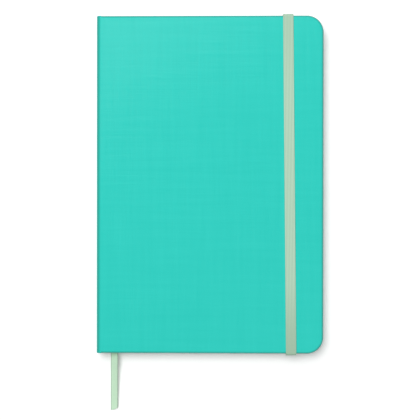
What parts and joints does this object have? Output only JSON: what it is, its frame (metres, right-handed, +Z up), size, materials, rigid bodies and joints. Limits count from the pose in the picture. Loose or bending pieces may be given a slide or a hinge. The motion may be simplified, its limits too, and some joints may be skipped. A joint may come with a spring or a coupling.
{
  "type": "dotted notebook",
  "caption": "Hardcover notebook with dotted pages, a hinged front cover, an elastic closing band and a ribbon marker.",
  "frame": {"origin": "on the table, under the middle of the closed book as it lies on its back cover", "axes": "+X from the spine to the fore edge, +Y from the tail to the head, +Z up, out of the front cover"},
  "size_m": [0.141, 0.249, 0.0163],
  "materials": {
    "board": "grey binder's board",
    "covering": "linen under a soft matte coating, turquoise",
    "endpaper": "uncoated endpaper",
    "pages": "uncoated writing paper with a grid of grey dots",
    "spine_cloth": "open cotton cloth under glue",
    "beaded_band": "woven cotton band",
    "elastic": "flat woven elastic, pale mint green",
    "ribbon": "satin ribbon, pale mint green"
  },
  "bodies": {
    "book": {"back_board": "board", "spine_liner": "board", "back_covering": "covering", "back_endpaper": "endpaper", "page_block": "pages", "spine_cloth": "spine_cloth", "head_band": "beaded_band", "tail_band": "beaded_band", "elastic_band": "elastic", "ribbon": "ribbon"},
    "front_cover": {"front_board": "board", "front_covering": "covering", "front_endpaper": "endpaper"}
  },
  "joints": [
    {"name": "front_cover_fold", "type": "hinge", "parent": "book", "child": "front_cover", "pos_m": [-0.068, 0, 0.0152], "axis": [0, -1, 0], "range_deg": [0, 186], "deforming": ["elastic_band"]}
  ]
}
